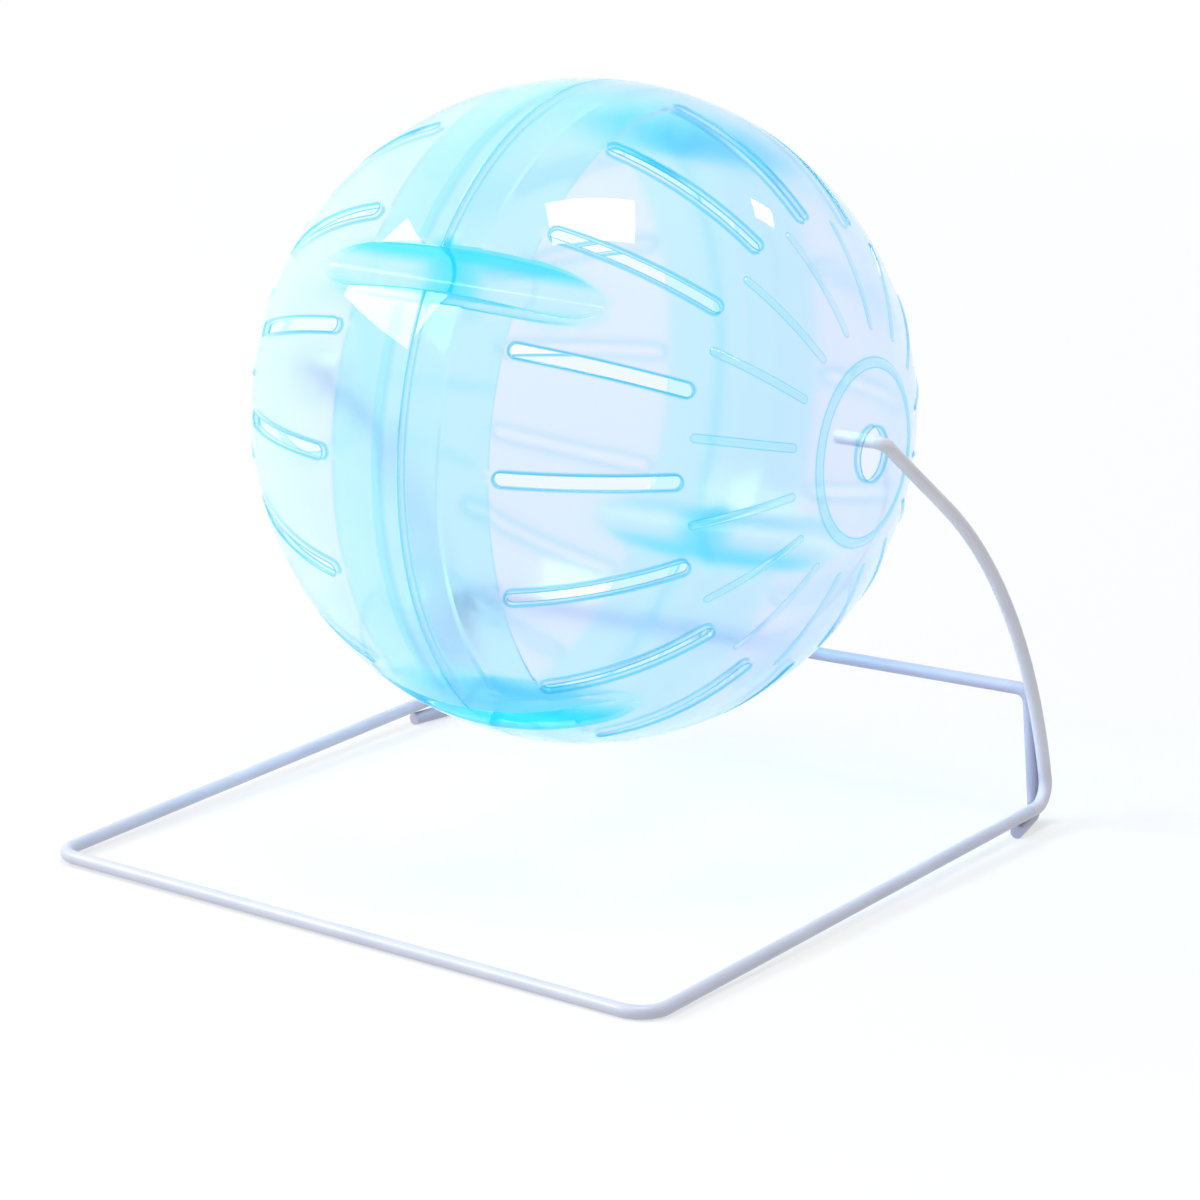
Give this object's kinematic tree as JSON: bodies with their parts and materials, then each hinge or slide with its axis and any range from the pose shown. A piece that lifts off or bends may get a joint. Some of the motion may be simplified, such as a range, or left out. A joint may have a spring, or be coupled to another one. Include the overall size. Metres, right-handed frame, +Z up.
{
  "type": "hamster ball on a wire stand",
  "caption": "Clear ball in two push-fit halves with air slots and finger scoops, spinning between the sprung arms of a bent wire stand.",
  "frame": {"origin": "on the floor that the stand rests on, straight below the middle of the ball", "axes": "+Z up, +X along the ball's spin axis towards the half that pulls off, +Y towards the back, where the arms rise"},
  "size_m": [0.1596, 0.1691, 0.1631],
  "materials": {
    "clear_shell": "clear pale blue moulded plastic, polished",
    "coated_wire": "smooth pale lavender-white coating on steel wire",
    "coated_tie_wire": "smooth pale blue-grey coating on steel wire"
  },
  "bodies": {
    "stand": {"base_frame": "coated_wire", "rear_tie_bar": "coated_tie_wire"},
    "arm_right": {"right_arm": "coated_wire"},
    "arm_left": {"left_arm": "coated_wire"},
    "ball": {"left_half": "clear_shell"},
    "ball_lid": {"right_half": "clear_shell"}
  },
  "joints": [
    {"name": "ball_spin", "type": "hinge", "parent": "stand", "child": "ball", "pos_m": [0, 0, 0.0931], "axis": [1, 0, 0], "continuous": true},
    {"name": "half_pull", "type": "slide", "parent": "ball", "child": "ball_lid", "axis": [1, 0, 0], "range_m": [0, 0.014]},
    {"name": "arm_spread_right", "type": "hinge", "parent": "stand", "child": "arm_right", "pos_m": [0.0784, 0.00185, 0.00352], "axis": [0, 0.9998, 0.0207], "range_deg": [0, 9], "stiffness_Nm_per_rad": 1.2},
    {"name": "arm_spread_left", "type": "hinge", "parent": "stand", "child": "arm_left", "pos_m": [-0.0784, 0.00185, 0.00352], "axis": [0, -0.9998, -0.0207], "range_deg": [0, 8], "stiffness_Nm_per_rad": 1.2}
  ],
  "couplings": [
    {"joint": "arm_spread_right", "follows": "half_pull", "rad_per_m": 10.72}
  ]
}
